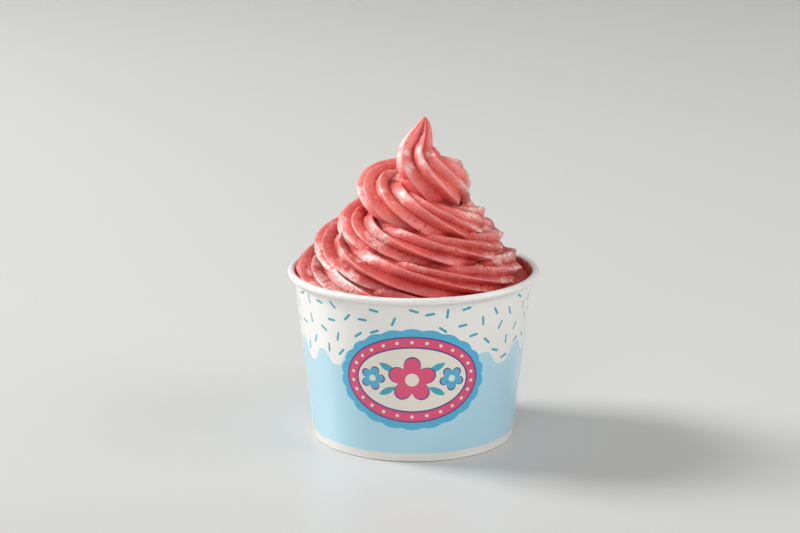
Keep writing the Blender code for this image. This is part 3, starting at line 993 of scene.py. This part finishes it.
def crevices(data, points, normals):
    """How deep each point lies below its surroundings, from 0 to 1: in the flutes and between the coils."""
    ends = np.empty(len(data.edges) * 2, np.int32)
    data.edges.foreach_get("vertices", ends)
    here = np.concatenate([ends[::2], ends[1::2]])
    there = np.concatenate([ends[1::2], ends[::2]])
    count = np.maximum(np.bincount(here, minlength=len(points)), 1)
    even = points
    for _ in range(CREVICE_ROUNDS):
        sums = [np.bincount(here, weights=even[there, i], minlength=len(points)) for i in range(3)]
        even = np.stack(sums, axis=1) / count[:, None]
    return eased(((even - points) * normals).sum(axis=1), CREVICE_FROM, CREVICE_FULL)


def roughened(data):
    """Moves the surface in and out a little: ripples everywhere, frost in patches, and tears."""
    points = places_of(data)
    normals = np.empty(len(points) * 3, np.float32)
    data.vertex_normals.foreach_get("vector", normals)
    normals = normals.reshape(-1, 3)
    # The mask of painted shade in the crevices.
    values_of(data, "crevice_shade", crevices(data, points, normals))
    torn, crest = values_from(data, "torn"), values_from(data, "crest")
    # The frosted spots are painted highlights: pale and icy where the coils catch the light.
    highlight_spots = np.zeros(len(points))
    edge = SPOT_RAG * lumpy(points, RIPPLE_SIZE, seed=14)
    for spot in FROSTED_HIGHLIGHT_SPOTS:
        away = np.linalg.norm(points - np.array(spot[:3]), axis=1) / spot.size + edge
        highlight_spots = np.maximum(highlight_spots, 1 - eased(away, *SPOT_EDGE))
    patch = np.maximum(eased(lumpy(points, FROST_PATCH, seed=7), *FROST_EDGE), highlight_spots)
    out = RIPPLE * lumpy(points, RIPPLE_SIZE, seed=5)
    out += FROST * patch * lumpy(points, FROST_SIZE, seed=6)
    out += TEAR * torn * lumpy(points, TEAR_SIZE, seed=9)
    moved = points + normals * out[:, None]
    data.vertices.foreach_set("co", (moved * MM).astype(np.float32).reshape(-1))
    # The frost mask also holds the spots' painted highlights, and the ice mask holds them together with the
    # torn crests' ice.
    values_of(data, "frost_and_highlight", patch)
    values_of(data, "ice_and_highlight", np.maximum(torn, highlight_spots * (SPOT_ICE + (1 - SPOT_ICE) * crest)))
    data.update()


def sorbet():
    pieces = bpy.data.collections.new("sorbet_pieces")
    bpy.context.scene.collection.children.link(pieces)
    rope(pieces)
    core(pieces)
    heart(pieces)
    smear(pieces)
    whole = fill()
    join = whole.modifiers.new("join", "BOOLEAN")
    join.operation = "UNION"
    join.operand_type = "COLLECTION"
    join.collection = pieces
    join.solver = "MANIFOLD"
    graph = bpy.context.evaluated_depsgraph_get()
    data = bpy.data.meshes.new_from_object(whole.evaluated_get(graph))
    for piece in list(pieces.objects) + [whole]:
        bpy.data.objects.remove(piece, do_unlink=True)
    bpy.data.collections.remove(pieces)
    data.name = "sorbet_swirl"
    data.materials.clear()
    one_body(data)
    roughened(data)
    made = bpy.data.objects.new("sorbet_swirl", data)
    bpy.context.scene.collection.objects.link(made)
    data.shade_smooth()
    return made


def sorbet_material():
    """Deep red in the flutes; darkest in the crevices, as painted shade; paler on the crests, as a painted
    highlight, and towards the tip; frosted in patches, icy where it is torn, and pitted; pale and icy in the
    frosted spots, as painted highlights."""
    made, nodes = new_material("frozen_red_sorbet")
    where = place_in(nodes)
    crest, crevice_shade = kept(nodes, "crest"), kept(nodes, "crevice_shade")
    patch = noise(nodes, where, PATCH_SIZE, 3.0)
    grain = noise(nodes, where, GRAIN_SIZE, 1.0)
    paler = maths(nodes, "MULTIPLY_ADD", patch, PALER_PATCH, PALER_ALL)
    # Painted highlight: a narrow paler line along the crests.
    paler = maths(nodes, "MULTIPLY_ADD", maths(nodes, "POWER", crest, CREST_HIGHLIGHT_SHARP), CREST_HIGHLIGHT_PALER, paler)
    # Paler in the frost, and as painted highlight in the frosted spots.
    paler = maths(nodes, "MULTIPLY_ADD", kept(nodes, "frost_and_highlight"), PALER_FROST_AND_HIGHLIGHT, paler)
    paler = maths(nodes, "MULTIPLY_ADD", grain, PALER_GRAIN, paler)
    paler = maths(nodes, "ADD", paler, spread(nodes, coordinate(nodes, where, "Z"), PALER_Z, PALER_Z_ADDS))
    colour = ramp(nodes, paler, (0.0, DEEP_RED), (MIDDLE_AT, MIDDLE_RED), (1.0, PALE_RED))
    # Pale flecks of ice on the torn crests, and of painted highlight in the frosted spots.
    flecks = spread(nodes, noise(nodes, where, FLECK_SIZE), FLECK_EDGE)
    ice_and_highlight_share = maths(nodes, "MULTIPLY", flecks, kept(nodes, "ice_and_highlight"))
    colour = covered(nodes, colour, ICE_AND_HIGHLIGHT_PINK, ice_and_highlight_share)
    cells = nodes.new("ShaderNodeTexVoronoi")
    feed(cells.inputs["Vector"], where)
    feed(cells.inputs["Scale"], 1 / (PIT_EVERY * MM))
    pits = spread(nodes, cells.outputs["Distance"], (PIT_R / 2, PIT_R), (1.0, 0.0))
    pits = maths(nodes, "MULTIPLY", pits, spread(nodes, patch, PITTED_EDGE))
    colour = covered(nodes, colour, PIT_RED, pits)
    # Painted shade: the crevices darkened towards a near-black red.
    colour = covered(nodes, colour, CREVICE_SHADE_RED, maths(nodes, "MULTIPLY", crevice_shade, CREVICE_SHADE_SHARE))
    dull = spread(nodes, patch, DULL_PATCH, DULL)
    set_inputs(
        nodes["Principled BSDF"],
        {
            "Base Color": colour,
            "Roughness": maths(nodes, "MULTIPLY_ADD", ice_and_highlight_share, ICE_GLOSS, dull),
            "Normal": bumped(nodes, maths(nodes, "MULTIPLY_ADD", pits, PIT_DEEP, grain), 1.0, GRAIN_HEIGHT),
            "Coat Weight": spread(nodes, crest, WET_CREST),
            "Coat IOR": 1.8,
            "Coat Roughness": 0.45,
            "Specular IOR Level": 0.4,
            "Subsurface Weight": 0.06,
            "Subsurface Radius": (1.0, 0.35, 0.25),
            "Subsurface Scale": 1.5 * MM,
        },
    )
    return made


# ---- the studio ----
Lamp = namedtuple("Lamp", "name round_deg up_deg away size watts")  # clockwise round from the camera
LAMPS = (
    Lamp("key", 107.0, 37.0, 2600.0, 900.0, 72.0),
    Lamp("front", 10.0, 25.0, 2000.0, 1600.0, 11.0),
    Lamp("right", -75.0, 30.0, 2000.0, 1500.0, 16.5),
)
LAMPS_AIM = (0.0, 0.0, 60.0)
SKY = 0.36
SWEEP_R, SWEEP_BEND, SWEEP_HIGH = 3400.0, 1200.0, 2600.0
SWEEP_SIDES, SWEEP_STEP_DEG = 128, 5.0
FLOOR_LOW, FLOOR_HIGH = (0.60, 0.598, 0.585, 1.0), (0.62, 0.618, 0.605, 1.0)
FLOOR_CLOUD, FLOOR_ROUGH = 400.0, 0.38
FRONT_Y, FRONT_PAINTED_SHADE = (-0.15, 0.02), (0.91, 1.0)  # painted shade: the floor is darker in front of these metres


def sweep():
    """A pale floor that curves up far away on all sides."""
    line = [(0.0, 0.0)] + arc(SWEEP_R - SWEEP_BEND, SWEEP_BEND, SWEEP_BEND, -90.0, 0.0, SWEEP_STEP_DEG)
    line.append((SWEEP_R, SWEEP_HIGH))
    angle = np.arange(SWEEP_SIDES) * math.tau / SWEEP_SIDES
    points = np.array([(r * math.cos(a), r * math.sin(a), z) for r, z in line[1:] for a in angle])
    hub = len(points)
    points = np.concatenate([points, [(0.0, 0.0, 0.0)]])
    faces = [(hub, i, (i + 1) % SWEEP_SIDES) for i in range(SWEEP_SIDES)]
    for ring in range(len(line) - 2):
        here, there = ring * SWEEP_SIDES, (ring + 1) * SWEEP_SIDES
        for i in range(SWEEP_SIDES):
            j = (i + 1) % SWEEP_SIDES
            faces.append((here + i, there + i, there + j, here + j))
    made = mesh_object("floor", points, faces)
    made.data.shade_smooth()
    made.data.materials.append(floor_material())
    return made


def floor_material():
    made, nodes = new_material("studio_floor")
    where = place_in(nodes)
    cloud = noise(nodes, where, FLOOR_CLOUD)
    colour = ramp(nodes, cloud, (0.0, FLOOR_LOW), (1.0, FLOOR_HIGH))
    # Painted shade: the floor darker towards the camera.
    shade = spread(nodes, coordinate(nodes, where, "Y"), FRONT_Y, FRONT_PAINTED_SHADE)
    set_inputs(
        nodes["Principled BSDF"],
        {"Base Color": scaled(nodes, colour, shade), "Roughness": FLOOR_ROUGH},
    )
    return made


def aimed(thing, aim, way, away):
    """Stands a camera or a lamp that far from what it aims at."""
    thing.location = (Vector(aim) + way * away) * MM
    thing.rotation_mode = "QUATERNION"
    thing.rotation_quaternion = (-way).to_track_quat("-Z", "Y")
    bpy.context.scene.collection.objects.link(thing)
    return thing


def shone(name, round_deg, up_deg, away, size, watts):
    """A square soft light that aims at the cup."""
    light = bpy.data.lights.new(name, "AREA")
    light.shape = "SQUARE"
    light.size = size * MM
    light.energy = watts
    turn, up = math.radians(round_deg), math.radians(up_deg)
    way = Vector((-math.sin(turn) * math.cos(up), -math.cos(turn) * math.cos(up), math.sin(up)))
    aimed(bpy.data.objects.new(name, light), LAMPS_AIM, way, away)


def camera():
    lens = bpy.data.cameras.new("camera")
    lens.lens, lens.sensor_width = CAMERA_LENS, CAMERA_SENSOR
    lens.clip_start, lens.clip_end = CAMERA_NEAR_CLIP, CAMERA_FAR_CLIP
    up = math.radians(CAMERA_UP_DEG)
    way = Vector((0.0, -math.cos(up), math.sin(up)))
    bpy.context.scene.camera = aimed(bpy.data.objects.new("camera", lens), CAMERA_AIM, way, CAMERA_FAR)


camera()
board = board_group()
wall = cup_wall()
for ink_name, ink in INKS.items():
    wall.data.materials.append(board_material(ink_name, board, ink, *COATED))
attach(wall, "root")
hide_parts("cup_wall")

bottom = frame["nodes"]["cup_bottom"]
bottom.data.materials.clear()
bottom.data.materials.append(board_material("plain_board", board, PLAIN_BOARD, *UNCOATED))

swirl = sorbet()
swirl.data.materials.append(sorbet_material())
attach(swirl, "root")
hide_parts("sorbet")

sweep()
for lamp in LAMPS:
    shone(*lamp)
world = bpy.data.worlds.new("studio")
world.use_nodes = True
set_inputs(world.node_tree.nodes["Background"], {"Color": (1.0, 1.0, 1.0, 1.0), "Strength": SKY})
bpy.context.scene.world = world
bpy.context.scene.view_settings.view_transform = "Standard"
